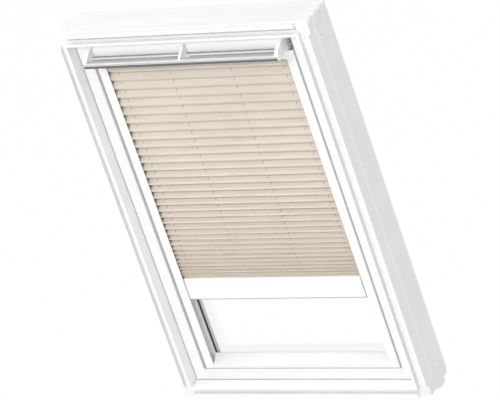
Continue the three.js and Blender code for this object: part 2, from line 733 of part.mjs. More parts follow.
function flapArm(outline, [from, to]) {
  return solid(prism('x', outline, from, to)).subtract(barRoom);
}
const axle = (radius, [from, to]) => drum(radius, from, to, flapAxisDepth, flapAxisHeight);
for (const side of bothSides) {
  const at = (distance) => away[side] * distance;
  const arm = flapArm(endArm, inOrder(at(halfSpan - armWidth), at(halfSpan)));
  const pin = axle(flapPinRadius, inOrder(at(halfSpan - armWidth), at(halfSpan + flapPinLength)));
  add(`bar_arm_${side}`, arm.add(pin), whitePlastic);
  const [from, to] = inOrder(at(halfSpan - barCapThickness), at(halfSpan));
  add(`bar_cap_${side}`, prism('x', barSection(0), from, to), whitePlastic);

  // A hinge ear on the sash's head carries the flap's pin
  const ear = inOrder(at(halfSpan + earOffset), at(halfSpan + earOffset + earThickness));
  const plate = block(ear, [flapAxisDepth - earReach, sashTopFront - fitGap],
    [flapAxisHeight - earReach, flapAxisHeight + earReach]);
  const bore = axle(boreFor(flapPinRadius), [ear[0] - cutOverrun, ear[1] + cutOverrun]);
  add(`flap_ear_${side}`, plate.subtract(bore), zincSteel);
}
const middleWeb = flapArm(middleArm, [-middleArmWidth / 2, middleArmWidth / 2]);
const webPieces = middleWeb.subtract(flapRoom).decompose();
webPieces.sort((first, second) => second.volume() - first.volume());
add('bar_arm_middle', webPieces[0], whitePlastic);

// Air filter strip on the sash's head, behind the flap
const filterBase = capHeight - filterHeight - flapSkin;
const filterBack = sashTopFront - fitGap;
add('air_filter', prism('x', [
  [filterBack - filterThickness, filterBase], [filterBack, filterBase],
  [filterBack, filterBase + filterHeight], [filterBack - filterThickness, filterBase + filterHeight],
], armWidth - coverSpan, coverSpan - armWidth), greyFoam);

// Sill bead between the side rails
const beadBack = lipDepth - fitGap;
const beadFloor = sillLip + fitGap;
const beadFront = sashFront + beadSetback;
const beadNose = beadFloor + beadHeight;
const bevelRise = (lipTop - beadNose) * (beadBack - beadFront) / (lipDepth + lipThickness - beadFront);
add('sill_bead', prism('x', [
  [beadFront, beadFloor], [beadFront, beadNose - beadSetback], [beadFront + beadSetback, beadNose],
  [beadBack, beadNose + bevelRise], [beadBack, beadFloor],
], sideX.left(railInner + fitGap), sideX.right(railInner + fitGap)), whiteLacquer);

// Side rails: folded channels with a slot for the gliders, and their feet
const railBack = lipDepth - fitGap;
const slotBack = railBack - railSlotLip;
const slotFront = slotBack - railSlot;
const railSection = [
  [railOuter, railBack], [railOuter, railFront + railShoulder],
  [railOuter + railShoulder / 3, railFront + railShoulder / 3], [railOuter + railShoulder, railFront],
  [railInner - railWall / 2, railFront], [railInner, railFront + railWall / 2],
  [railInner, slotFront], [railInner - railWall, slotFront], [railInner - railWall, railFront + railWall],
  [railOuter + railShoulder + railWall / 2, railFront + railWall],
  [railOuter + railWall, railFront + railShoulder + railWall / 2],
  [railOuter + railWall, slotBack], [railInner, slotBack], [railInner, railBack],
];
const footBase = sillLip + fitGap;
const railBase = footBase + footThickness + fitGap;
const plugInset = railWall + fitGap;
const footSole = [
  [railOuter, railBack], [railOuter, railFront + railShoulder], [railOuter + railShoulder, railFront],
  [railInner, railFront], [railInner, railBack],
];
const footPlugOutline = [
  [railOuter + plugInset, slotBack - fitGap], [railOuter + plugInset, railFront + railShoulder + plugInset],
  [railOuter + railShoulder + plugInset, railFront + plugInset],
  [railInner - plugInset, railFront + plugInset],
  [railInner - plugInset, slotBack - fitGap],
];
for (const side of bothSides) {
  add(`side_rail_${side}`, upright(side, railSection, railBase, railTop), whitePlastic);
  const sole = solid(upright(side, footSole, footBase, footBase + footThickness));
  const plug = solid(upright(side, footPlugOutline, footBase, footBase + footPlug));
  add(`rail_foot_${side}`, sole.add(plug), whitePlastic);
}

// Head rail: a channel open below, between the side rails, held by clips under the sash's head
const headBase = railTop - headRailHeight;
const headFront = railFront + railWall;
const headBack = railBack - railWall;
const headLip = (headBack - headFront - headRailSlot) / 2;
const blindLeft = sideX.left(railInner + fitGap);
const blindRight = sideX.right(railInner + fitGap);
add('head_rail', prism('x', [
  [headFront + headLip, headBase], [headFront + railWall / 2, headBase],
  [headFront, headBase + railWall / 2],
  [headFront, railTop - railWall / 2], [headFront + railWall / 2, railTop], [headBack, railTop],
  [headBack, headBase], [headBack - headLip, headBase], [headBack - headLip, headBase + railWall],
  [headBack - railWall, headBase + railWall], [headBack - railWall, railTop - railWall],
  [headFront + railWall, railTop - railWall], [headFront + railWall, headBase + railWall],
  [headFront + headLip, headBase + railWall],
], blindLeft, blindRight), whitePlastic);

const clipBase = railTop + fitGap;
const clipTop = railZ.top(sashTopUnderside) - fitGap;
for (const side of bothSides) {
  const middle = away[side] * clipOffsetShare * blindRight;
  const clipFront = headFront + railWall;
  add(`head_clip_${side}`, prism('x', [
    [clipFront, clipBase], [railBack, clipBase], [railBack, clipTop], [clipFront, clipTop],
  ], middle - clipWidth / 2, middle + clipWidth / 2), zincSteel);
}

// Bottom rail: a hollow crowned profile with a grip along its lower edge
const bottomTop = bottomRailBase + bottomRailHeight;
const bottomBack = bottomRailFront + bottomRailDepth;
const crown = bottomRailFront - bottomRailCrown;
const gripFront = bottomRailFront - gripProud;
const bottomSkin = [
  [bottomRailFront + cornerRound, bottomRailBase], [gripFront, bottomRailBase],
  [gripFront, bottomRailBase + gripHeight / 2], [bottomRailFront, bottomRailBase + gripHeight],
  [crown, bottomRailBase + bottomRailHeight / 2], [bottomRailFront, bottomTop - cornerRound],
  [bottomRailFront + cornerRound, bottomTop], [bottomBack - cornerRound, bottomTop],
  [bottomBack, bottomTop - cornerRound], [bottomBack, bottomRailBase + cornerRound],
  [bottomBack - cornerRound, bottomRailBase],
];
const hollowFront = bottomRailFront + bottomRailWall;
const hollowBack = bottomBack - bottomRailWall;
const hollowBase = bottomRailBase + gripHeight + bottomRailWall;
const hollowTop = bottomTop - cornerRound - bottomRailWall;
const bottomHollow = [
  [hollowFront, hollowBase], [hollowFront, hollowTop], [hollowBack, hollowTop], [hollowBack, hollowBase],
];
const capInset = railInner + runningGap;
const skinInset = capInset + endCapThickness + fitGap;
const skinSpan = [sideX.left(skinInset), sideX.right(skinInset)];
add('bottom_rail', prism('x', bottomSkin, skinSpan[0], skinSpan[1], [bottomHollow]), whitePlastic);
const gliderBack = slotBack - (railSlot - gliderThickness) / 2;
const gliderMiddle = bottomRailBase + bottomRailHeight / 2;
for (const side of bothSides) {
  const capSpan = acrossSide(side, capInset, capInset + endCapThickness);
  const cap = solid(prism('x', bottomSkin, capSpan[0], capSpan[1]));
  const blade = block(acrossSide(side, railInner - gliderReach, capInset + endCapThickness / 2),
    [gliderBack - gliderThickness, gliderBack],
    [gliderMiddle - gliderHeight / 2, gliderMiddle + gliderHeight / 2]);
  add(`rail_glider_${side}`, cap.add(blade), whitePlastic);
}

// Pleated cloth: a zigzag whose folds close up towards the bottom rail
const clothTop = headBase - fitGap;
const clothEnd = bottomTop + fitGap;
const pleatPitch = pleatPitchShare * (clothTop - clothEnd);
const folds = [[clothFront + firstCreaseDrop, clothTop]];
let crease = clothTop - firstCreaseDrop;
for (let pleat = 0; pleat < pleatCount; pleat += 1) {
  const pitch = pleatPitch * (1 - pleatLossShare * (pleat / (pleatCount - 1)) ** pleatLossPower);
  folds.push([clothFront, crease]);
  folds.push([clothFront + Math.sqrt(pleatPanel ** 2 - (pitch / 2) ** 2), crease - pitch / 2]);
  crease -= pitch;
}
const clothFolds = folds.filter(([, height]) => height > clothEnd + clothThickness);
clothFolds.push([clothFront + pleatPanel / 3, clothEnd]);
const clothBackFace = clothFolds.map(([depth, height]) => [depth + clothThickness, height]).reverse();
const clothInset = railInner + runningGap;
add('pleated_cloth', prism('x', [...clothFolds, ...clothBackFace],
  sideX.left(clothInset), sideX.right(clothInset)), beigeCloth);

export default object;
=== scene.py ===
"""Roof window with a pleated blind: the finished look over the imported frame."""
import math
from collections import namedtuple
import bmesh
import bpy
from mathutils import Matrix, Vector


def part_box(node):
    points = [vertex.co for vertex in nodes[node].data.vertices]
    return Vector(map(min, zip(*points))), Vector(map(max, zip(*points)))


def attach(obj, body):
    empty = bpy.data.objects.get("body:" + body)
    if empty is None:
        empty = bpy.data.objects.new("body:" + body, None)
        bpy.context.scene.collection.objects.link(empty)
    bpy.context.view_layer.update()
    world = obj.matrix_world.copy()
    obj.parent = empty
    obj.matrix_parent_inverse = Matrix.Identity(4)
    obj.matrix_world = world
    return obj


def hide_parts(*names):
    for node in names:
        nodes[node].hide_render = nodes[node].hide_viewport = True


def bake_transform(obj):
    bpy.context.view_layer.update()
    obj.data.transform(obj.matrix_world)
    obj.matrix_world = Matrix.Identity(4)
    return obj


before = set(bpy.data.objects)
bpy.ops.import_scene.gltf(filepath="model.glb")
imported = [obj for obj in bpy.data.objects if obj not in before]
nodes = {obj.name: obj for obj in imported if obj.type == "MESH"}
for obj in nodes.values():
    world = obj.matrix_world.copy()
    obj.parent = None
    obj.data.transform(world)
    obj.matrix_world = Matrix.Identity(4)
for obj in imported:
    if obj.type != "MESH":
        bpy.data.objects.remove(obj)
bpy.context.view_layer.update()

# Sizes are in millimetres: x from the middle, depth from the frame's front, height from its underside
MM = 0.001
HALF_DEPTH = round(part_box("frame_right")[1].y / MM, 2)
Point = namedtuple("Point", "x depth height")


def place(x, depth, height):
    """The place in metres of a point given in millimetres."""
    return Vector((x * MM, (depth - HALF_DEPTH) * MM, height * MM))


def corners(node):
    """The lowest and the highest corner of a solid, in millimetres."""
    return [Point(round(corner.x / MM, 2), round(corner.y / MM + HALF_DEPTH, 2), round(corner.z / MM, 2))
            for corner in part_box(node)]


# Camera at the photo's angle: its place in metres, its right and its line of sight
CAMERA_PLACE = (6.08128, -8.62761, 6.05675)
camera_data = bpy.data.cameras.new("camera")
camera_data.lens = 318.07
camera_data.sensor_width = 36
camera_data.sensor_fit = "HORIZONTAL"
camera_data.clip_start = 0.1
camera_data.clip_end = 200
camera = bpy.data.objects.new("camera", camera_data)
bpy.context.scene.collection.objects.link(camera)
to_right = Vector((0.8588, 0.4194, -0.2941)).normalized()
forward = Vector((-0.5118, 0.7264, -0.4587)).normalized()
to_right = (to_right - forward * to_right.dot(forward)).normalized()
to_top = to_right.cross(forward)
turn = Matrix((to_right, to_top, -forward)).transposed()
camera.matrix_world = Matrix.Translation(CAMERA_PLACE) @ turn.to_4x4()
bpy.context.scene.camera = camera
bpy.context.scene.view_settings.view_transform = "Standard"


# Materials. Colours and roughness spread over the middle of a noise's values
NOISE_LOW = 0.3
NOISE_HIGH = 0.7


class Surface:
    """One material, with short calls for the nodes that lead to its shader."""

    def __init__(self, name):
        self.material = bpy.data.materials.new(name)
        self.material.use_nodes = True
        self.tree = self.material.node_tree
        self.shader = self.tree.nodes["Principled BSDF"]

    def node(self, kind):
        return self.tree.nodes.new("ShaderNode" + kind)

    def link(self, source, target):
        self.tree.links.new(source, target)

    def set(self, **values):
        """Sets the shader's own sockets. A name has _ in place of each space."""
        for name, value in values.items():
            self.shader.inputs[name.replace("_", " ")].default_value = value

    def position(self, stretch=(1, 1, 1)):
        """Object coordinates in metres, times stretch. A small number draws a pattern out along its axis."""
        mapping = self.node("Mapping")
        mapping.inputs["Scale"].default_value = stretch
        self.link(self.node("TexCoord").outputs["Object"], mapping.inputs["Vector"])
        return mapping.outputs["Vector"]

    def noise(self, scale, detail=3, roughness=0.55, stretch=(1, 1, 1)):
        made = self.node("TexNoise")
        made.inputs["Scale"].default_value = scale
        made.inputs["Detail"].default_value = detail
        made.inputs["Roughness"].default_value = roughness
        self.link(self.position(stretch), made.inputs["Vector"])
        return made.outputs["Fac"]

    def total(self, *parts):
        """The sum of several values, each times its weight."""
        result = None
        for source, weight in parts:
            weighted = self.node("Math")
            weighted.operation = "MULTIPLY_ADD"
            self.link(source, weighted.inputs[0])
            weighted.inputs[1].default_value = weight
            weighted.inputs[2].default_value = 0
            if result is not None:
                self.link(result, weighted.inputs[2])
            result = weighted.outputs["Value"]
        return result

    def colour(self, source, dark, light, low=NOISE_LOW, high=NOISE_HIGH):
        """Base colour from dark to light, as the source goes from low to high."""
        ramp = self.node("ValToRGB")
        for index, (position, shade) in enumerate(((low, dark), (high, light))):
            ramp.color_ramp.elements[index].position = position
            ramp.color_ramp.elements[index].color = (*shade, 1)
        self.link(source, ramp.inputs["Fac"])
        self.link(ramp.outputs["Color"], self.shader.inputs["Base Color"])

    def roughness(self, source, low, high):
        """Roughness from low to high over the middle of a noise's values."""
        spread = self.node("MapRange")
        spread.inputs["From Min"].default_value = NOISE_LOW
        spread.inputs["From Max"].default_value = NOISE_HIGH
        spread.inputs["To Min"].default_value = low
        spread.inputs["To Max"].default_value = high
        self.link(source, spread.inputs["Value"])
        self.link(spread.outputs["Result"], self.shader.inputs["Roughness"])

    def bump(self, height, distance, strength):
        made = self.node("Bump")
        made.inputs["Distance"].default_value = distance
        made.inputs["Strength"].default_value = strength
        self.link(height, made.inputs["Height"])
        self.link(made.outputs["Normal"], self.shader.inputs["Normal"])


def times(colour, factor):
    return tuple(channel * factor for channel in colour)


def grey(shade):
    return (shade, shade, shade)


def lacquer(name, grain, shade=1.0):
    """White lacquer over timber: a fine levelled film with a hint of the grain below it. A shade below 1
    paints it darker, as painted shade.
    """
    surface = Surface(name)
    film = surface.noise(scale=900, detail=2)
    wood = surface.noise(scale=60, detail=5, roughness=0.6, stretch=grain)
    cloudy = surface.noise(scale=6, detail=2)
    surface.colour(cloudy, times((0.905, 0.905, 0.9), shade), times((0.93, 0.93, 0.926), shade))
    surface.roughness(film, low=0.34, high=0.46)
    surface.bump(surface.total((film, 0.25), (wood, 1)), distance=0.00012, strength=0.5)
    surface.set(Coat_Weight=0.25, Coat_Roughness=0.28)
    return surface.material


def plain_coat(name, shade, rough):
    """Moulded plastic or powder coat, white or grey, with a finely textured skin."""
    surface = Surface(name)
    texture = surface.noise(scale=1400, detail=2)
    patches = surface.noise(scale=9, detail=2)
    surface.colour(patches, grey(shade - 0.012), grey(shade))
    surface.roughness(texture, low=rough - 0.05, high=rough + 0.06)
    surface.bump(texture, distance=0.00003, strength=0.6)
    surface.set(IOR=1.46)
    return surface.material


def brushed_metal(name, colour, stretch, rough, metallic=1.0):
    """Metal with fine strokes, which stretch draws out."""
    surface = Surface(name)
    strokes = surface.noise(scale=700, detail=4, roughness=0.7, stretch=stretch)
    tone = surface.noise(scale=14, detail=2)
    surface.colour(surface.total((strokes, 0.6), (tone, 0.4)), times(colour, 0.93), colour)
    surface.roughness(strokes, low=rough - 0.08, high=rough + 0.08)
    surface.bump(strokes, distance=0.00002, strength=0.7)
    surface.set(Metallic=metallic)
    return surface.material


def cover_sheet(name):
    """Grey lacquered sheet of the outside covers, a little weathered."""
    surface = Surface(name)
    fine = surface.noise(scale=1800, detail=2)
    weather = surface.noise(scale=11, detail=5, roughness=0.62, stretch=(1, 1, 0.35))
    surface.colour(weather, (0.085, 0.09, 0.095), (0.125, 0.13, 0.135), high=0.72)
    surface.roughness(weather, low=0.38, high=0.55)
    surface.bump(fine, distance=0.00004, strength=0.6)
    surface.set(Metallic=0.35)
    return surface.material


def gasket_rubber(name):
    """Black rubber with fine pores."""
    surface = Surface(name)
    pores = surface.noise(scale=2200)
    surface.colour(pores, (0.012, 0.012, 0.013), (0.03, 0.03, 0.031))
    surface.roughness(pores, low=0.55, high=0.75)
    surface.bump(pores, distance=0.00005, strength=0.6)
    return surface.material


def seal_and_shade_rubber(name, shade):
    """Grey extruded rubber, a little chalky on its surface, for seals and for strips that paint shade."""
    surface = Surface(name)
    chalk = surface.noise(scale=160, detail=4, roughness=0.6, stretch=(0.3, 1, 1))
    pores = surface.noise(scale=2400, detail=2)
    surface.colour(chalk, grey(shade * 0.8), grey(shade * 1.15))
    surface.roughness(chalk, low=0.6, high=0.8)
    surface.bump(pores, distance=0.00004, strength=0.6)
    return surface.material


def clear_glass(name):
    """Clear glass with the slightest ripple and tint."""
    surface = Surface(name)
    ripple = surface.noise(scale=3.5, detail=2)
    surface.colour(ripple, (0.997, 1.0, 0.999), (0.999, 1.0, 1.0))
    surface.bump(ripple, distance=0.00004, strength=0.3)
    surface.set(Transmission_Weight=1.0, Roughness=0.0, IOR=1.45)
    return surface.material


def foam(name):
    """Open grey foam with round cells."""
    surface = Surface(name)
    cells = surface.node("TexVoronoi")
    cells.inputs["Scale"].default_value = 900
    surface.link(surface.position(), cells.inputs["Vector"])
    surface.colour(cells.outputs["Distance"], (0.11, 0.11, 0.115), (0.24, 0.24, 0.245), low=0.1)
    surface.bump(cells.outputs["Distance"], distance=0.0004, strength=0.8)
    surface.set(Roughness=0.95)
    return surface.material


def pleated_weave(name, shade=1.0):
    """Beige woven cloth: fine threads both ways, thicker slubs along the width, a light sheen. A shade below
    1 paints it darker, as painted shade.
    """
    surface = Surface(name)
    across = surface.noise(scale=1500, roughness=0.6, stretch=(0.06, 1, 1))
    down = surface.noise(scale=1300, roughness=0.6, stretch=(1, 0.08, 0.08))
    slub = surface.noise(scale=330, roughness=0.6, stretch=(0.03, 1, 1))
    tone = surface.noise(scale=8)
    threads = surface.total((across, 0.5), (down, 0.5))
    mixed = surface.total((threads, 0.45), (slub, 0.35), (tone, 0.2))
    surface.colour(mixed, times((0.67, 0.604, 0.524), shade), times((0.8, 0.738, 0.656), shade),
                   low=0.34, high=0.66)
    surface.bump(threads, distance=0.00012, strength=0.7)
    surface.set(Roughness=0.85, Sheen_Weight=0.15, Sheen_Roughness=0.5)
    return surface.material


UPRIGHT_GRAIN = (1, 1, 0.04)
RAIL_GRAIN = (0.04, 1, 1)
upright_lacquer = lacquer("lacquer_upright", UPRIGHT_GRAIN)
rail_lacquer = lacquer("lacquer_rail", RAIL_GRAIN)
# Darker copies of the lacquer, as painted shade in the lining grooves of the frame
upright_groove_shade = lacquer("lacquer_upright_groove", UPRIGHT_GRAIN, shade=0.93)
rail_groove_shade = lacquer("lacquer_rail_groove", RAIL_GRAIN, shade=0.93)
# Darker copies of the same lacquer for the sash, as painted shade on its faces
stile_shaded_lacquer = lacquer("lacquer_stile_shaded", UPRIGHT_GRAIN, shade=0.94)
sash_rail_shaded_lacquer = lacquer("lacquer_sash_rail_shaded", RAIL_GRAIN, shade=0.92)
plastic = plain_coat("moulded_white", shade=0.92, rough=0.34)
powder = plain_coat("powder_coat_white", shade=0.91, rough=0.42)
grey_plastic_and_gap_shade = plain_coat("moulded_grey_and_gap_shade", shade=0.42, rough=0.4)
# Grey for the arms' sides, as painted shade
arm_shade = plain_coat("arm_painted_shade", shade=0.83, rough=0.42)
bar_metal = brushed_metal("bar_aluminium", (0.52, 0.525, 0.53), (0.012, 1, 1), rough=0.46, metallic=0.45)
# A darker metal for the bar's lower front, as painted shade
painted_shade_metal = brushed_metal("bar_painted_shade", (0.2, 0.205, 0.21), (0.02, 1, 1), rough=0.5)
zinc = brushed_metal("zinc_plate", (0.62, 0.63, 0.64), (0.2, 1, 0.2), rough=0.42)
spacer_metal = brushed_metal("spacer_metal", (0.6, 0.61, 0.62), (1, 1, 0.03), rough=0.38)
sheet_metal = cover_sheet("cover_sheet")
black_rubber = gasket_rubber("gasket_rubber")
# Grey rubber for strips set where there is shade: painted shade
shade_strip_rubber = seal_and_shade_rubber("seal_and_shade_rubber", shade=0.42)
gap_seal_and_shade = seal_and_shade_rubber("gap_seal_and_shade_rubber", shade=0.15)
glazing = clear_glass("glazing")
grey_foam = foam("filter_foam")
cloth = pleated_weave("pleated_weave")
crease_shade_cloth = pleated_weave("crease_painted_shade", shade=0.8)
slot_shade_cloth = pleated_weave("shaded_slot", shade=0.6)


# Pieces and their edges. Facets that turn by fewer degrees than this count as one plane
FLAT_ANGLE = 0.5


def paint(mesh, *materials):
    """Gives a mesh these materials in place of those that it has."""
    mesh.materials.clear()
    for material in materials:
        mesh.materials.append(material)


def piece(name, mesh, body, slot, material, *replaced):
    """A new piece with its material, which may stand for solids and hides them. It rides on a body when one
    is given. The slot is not used."""
    thing = bpy.data.objects.new(name, mesh)
    bpy.context.scene.collection.objects.link(thing)
    mesh.materials.append(material)
    if body:
        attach(thing, body)
    if replaced:
        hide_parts(*replaced)
    return thing


def smooth(mesh, angle=None):
    """Smooth shading all over, or up to the edges that turn by more than an angle."""
    for polygon in mesh.polygons:
        polygon.use_smooth = True
    if angle:
        mesh.set_sharp_from_angle(angle=math.radians(angle))


def merge_flat(thing):
    """Joins the facets that lie in one plane."""
    flat = thing.modifiers.new("flat_faces", "DECIMATE")
    flat.decimate_type = "DISSOLVE"
    flat.angle_limit = math.radians(FLAT_ANGLE)


def soften(thing, width, segments=2, angle=30):
    """Rounds a thing's hard edges with a bevel and evens the shading of its flat faces."""
    bevel = thing.modifiers.new("edge_rounding", "BEVEL")
    bevel.width = width * MM
    bevel.segments = segments
    bevel.limit_method = "ANGLE"
    bevel.angle_limit = math.radians(angle)
    bevel.harden_normals = True
    bevel.use_clamp_overlap = True


def dress(names, material, width=0.0, segments=2):
    """Gives solids their material, and rounds their edges where a width is given."""
    for name in names:
        thing = nodes[name]
        paint(thing.data, material)
        if width:
            smooth(thing.data)
            merge_flat(thing)
            soften(thing, width, segments)
        else:
            smooth(thing.data, 30)


def mesh_of(shape, name):
    """A mesh from a shape that is built up in code."""
    mesh = bpy.data.meshes.new(name)
    shape.to_mesh(mesh)
    shape.free()
    return mesh


# A corner flatter than this, in radians, stays as it is, and a round takes at most this share of an edge
STRAIGHT = 0.03
LARGEST_SHARE = 0.48


def outline(origin, points, radius=0.0, steps=5, sign=1):
    """A closed outline with rounded corners, its points measured from an origin.
    A point may carry a radius of its own as a third number. A sign of -1 mirrors the outline."""
    spots = [Vector((sign * (origin[0] + point[0]), origin[1] + point[1])) for point in points]
    result = []
    for index, here in enumerate(spots):
        back = spots[index - 1] - here
        ahead = spots[(index + 1) % len(spots)] - here
        half = back.angle(ahead) / 2
        own_radius = points[index][2] if len(points[index]) > 2 else radius
        if own_radius <= 0 or math.pi / 2 - half < STRAIGHT:
            result.append(here)
            continue
        cut = min(own_radius / math.tan(half), LARGEST_SHARE * min(back.length, ahead.length))
        inward = (back.normalized() + ahead.normalized()).normalized()
        middle = here + inward * (cut / math.cos(half))
        start = here + back.normalized() * cut - middle
        sweep = math.pi - 2 * half
        if back.x * ahead.y > back.y * ahead.x:
            sweep = -sweep
        for step in range(steps + 1):
            result.append(middle + Matrix.Rotation(sweep * step / steps, 2) @ start)
    return result


def bar(name, shape, ends, body, slot, material, *replaced, axis="x", angle=35):
    """A piece made from an outline, pushed along an axis from end to end, smooth up to an angle.
    Along x the outline is (depth, height), along z it is (x, depth)."""
    built = bmesh.new()
    rows = []
    for along in ends:
        if axis == "x":
            points = [place(along, depth, height) for depth, height in shape]
        else:
            points = [place(x, depth, along) for x, depth in shape]
        rows.append([built.verts.new(point) for point in points])
    low, high = rows
    pairs = [(index, (index + 1) % len(shape)) for index in range(len(shape))]
    for here, after in pairs:
        built.faces.new((low[here], low[after], high[after], high[here]))
    for row in rows:
        edges = [built.edges.get((row[here], row[after])) for here, after in pairs]
        bmesh.ops.triangle_fill(built, use_beauty=True, use_dissolve=False, edges=edges)
    bmesh.ops.recalc_face_normals(built, faces=built.faces)
    mesh = mesh_of(built, name)
    smooth(mesh, angle)
    piece(name, mesh, body, slot, material, *replaced)


# Solids that keep their shapes and get finishes
dress(["sash_left", "sash_right"], stile_shaded_lacquer, width=0.8)
dress(["sash_top", "sash_bottom", "stop_rib", "sill_bead"], sash_rail_shaded_lacquer, width=0.8)
dress(["frame_cover_left", "frame_cover_right", "frame_cover_bottom", "top_hood", "sash_cover_left",
       "sash_cover_right", "sash_cover_top", "sash_cover_bottom"], sheet_metal, width=0.35)
dress(["strike_plate", "frame_hinge_left", "frame_hinge_right", "sash_hinge_left", "sash_hinge_right",
       "latch_casing", "latch_bolt", "head_clip_left", "head_clip_right"], zinc, width=0.3)
dress(["flap_ear_left", "flap_ear_right"], grey_plastic_and_gap_shade, width=0.5, segments=3)
dress(["pane_spacer"], spacer_metal, width=0.3)
dress(["top_seal", "inner_gasket", "outer_gasket"], black_rubber, width=0.3)
dress(["inner_pane", "outer_pane"], glazing)
dress(["air_filter"], grey_foam)
dress(["rail_foot_left", "rail_foot_right", "bar_cap_left", "bar_cap_right"], plastic, width=0.5,
      segments=3)
# The gliders are grey as painted shade, so that the gaps at the bottom rail's ends look dark
dress(["rail_glider_left", "rail_glider_right"], grey_plastic_and_gap_shade, width=0.5, segments=3)
dress(["head_rail", "bottom_rail"], powder, width=0.4, segments=3)

# Lamp light goes straight through the panes
for pane in ("inner_pane", "outer_pane"):
    nodes[pane].visible_shadow = False
    nodes[pane].visible_diffuse = False


# Frame members: copies of the solids that are cut further and rounded
FRAME_LOW, FRAME_HIGH = corners("frame_right")
MEMBER_ANGLE = 25
MEMBER_ROUND = 0.35
CUT_OVERRUN = 2

# The lining groove lies between these distances from the frame's edge, and between these depths
GROOVE_INSETS = (12, 33)
GROOVE_DEPTHS = (1, 30)


def box_tool(low, high):
    """A box between two corners."""
    built = bmesh.new()
    bmesh.ops.create_cube(built, size=1.0)
    low, high = place(*low), place(*high)
    for vertex in built.verts:
        for axis in range(3):
            vertex.co[axis] = low[axis] if vertex.co[axis] < 0 else high[axis]
    return built


def drill_tool(radius, reach, middle):
    """A drill along x, centred on a point."""
    built = bmesh.new()
    bmesh.ops.create_cone(built, cap_ends=True, segments=20, radius1=radius * MM, radius2=radius * MM,
                          depth=reach * MM)
    bmesh.ops.rotate(built, verts=built.verts, matrix=Matrix.Rotation(math.pi / 2, 3, "Y"))
    bmesh.ops.translate(built, verts=built.verts, vec=place(*middle))
    return built


def apply_tool(thing, tool, operation):
    """Adds a tool's shape to a thing, or cuts it away, for good."""
    other = bpy.data.objects.new("tool", mesh_of(tool, "tool"))
    bpy.context.scene.collection.objects.link(other)
    change = thing.modifiers.new("change", "BOOLEAN")
    change.operation = operation
    change.solver = "EXACT"
    change.object = other
    changed = thing.evaluated_get(bpy.context.evaluated_depsgraph_get())
    made = bpy.data.meshes.new_from_object(changed)
    thing.modifiers.clear()
    thing.data = made
    bpy.data.objects.remove(other)


def in_groove(polygon):
    """True for a facet inside the groove that takes the room's lining."""
    x, y, height = (value / MM for value in polygon.center)
    inset = min(FRAME_HIGH.x - abs(x), height, FRAME_HIGH.height - height)
    depth = y + HALF_DEPTH
    return GROOVE_INSETS[0] < inset < GROOVE_INSETS[1] and GROOVE_DEPTHS[0] < depth < GROOVE_DEPTHS[1]


def member(name, node, material, groove_shade_material, changes=()):
    """A copy of a frame member with some changes, darker lacquer in its groove as painted shade, and rounded
    edges.
    """
    thing = piece(name, nodes[node].data.copy(), "frame", "lacquered_timber", material, node)
    for operation, tool in changes:
        apply_tool(thing, tool, operation)
    paint(thing.data, material, groove_shade_material)
    for polygon in thing.data.polygons:
        polygon.material_index = int(in_groove(polygon))
    smooth(thing.data, MEMBER_ANGLE)
    merge_flat(thing)
    soften(thing, MEMBER_ROUND, angle=MEMBER_ANGLE)


# On the top member the strip is flush, and the groove below it is wider and undercut.
# The changes end where the finger joints of the corners start
CORNER_REACH = 37.2
STRIP_WIDTH = 12
STRIP_FILL = 6
SLOT_START = 10.6
RIDGE_END = 15
RIDGE_DEPTH = 13
UNDERCUT_END = 22.4
UNDERCUT_DEPTHS = (12, 20)


def along_top(insets, depths):
    """A box along the top member between its corners. Insets are distances from the window's top."""
    half = FRAME_HIGH.x - CORNER_REACH
    return box_tool((-half, depths[0], FRAME_HIGH.height - insets[1]),
                    (half, depths[1], FRAME_HIGH.height - insets[0]))


member("top_member", "frame_top", rail_lacquer, rail_groove_shade, [
    ("UNION", along_top((0, STRIP_WIDTH), (0, STRIP_FILL))),
    ("DIFFERENCE", along_top((SLOT_START, RIDGE_END), (-CUT_OVERRUN, RIDGE_DEPTH))),
    ("DIFFERENCE", along_top((SLOT_START, UNDERCUT_END), UNDERCUT_DEPTHS)),
])
member("bottom_member", "frame_bottom", rail_lacquer, rail_groove_shade)

# The outer faces of the uprights: the front part stands back a little, and there are fixing holes,
# each given by its depth and height
STEP_BACK = 1.2
STEP_DEPTH = 43.5
HOLE_RADIUS = 2.6
HOLE_REACH = 24
HOLES = ((84, 1164), (59.5, 1147), (67.6, 1109), (73, 75))
for side, sign in (("left", -1), ("right", 1)):
    lowest, highest = sorted((sign * (FRAME_HIGH.x - STEP_BACK), sign * (FRAME_HIGH.x + CUT_OVERRUN)))
    step = box_tool((lowest, -CUT_OVERRUN, FRAME_LOW.height - CUT_OVERRUN),
                    (highest, STEP_DEPTH, FRAME_HIGH.height - STRIP_WIDTH))
    drills = [drill_tool(HOLE_RADIUS, HOLE_REACH, (sign * FRAME_HIGH.x, *hole)) for hole in HOLES]
    member("upright_" + side, "frame_" + side, upright_lacquer, upright_groove_shade,
           [("DIFFERENCE", tool) for tool in (step, *drills)])

# A dark seal closes the gap between the sash and the frame below it; its dark rubber is also painted shade
# in that gap
GAP_HALF = 346
gap_corner = (corners("sash_bottom")[0].depth, corners("frame_bottom")[1].height)
gap_outline = outline(gap_corner, [(1.2, 0.4), (1.2, 1.9), (2.4, 2.2), (12, 2.2), (12, 0.4)],
                      radius=0.4, steps=3)
bar("gap_seal", gap_outline, (-GAP_HALF, GAP_HALF), "frame", "black_rubber", gap_seal_and_shade)


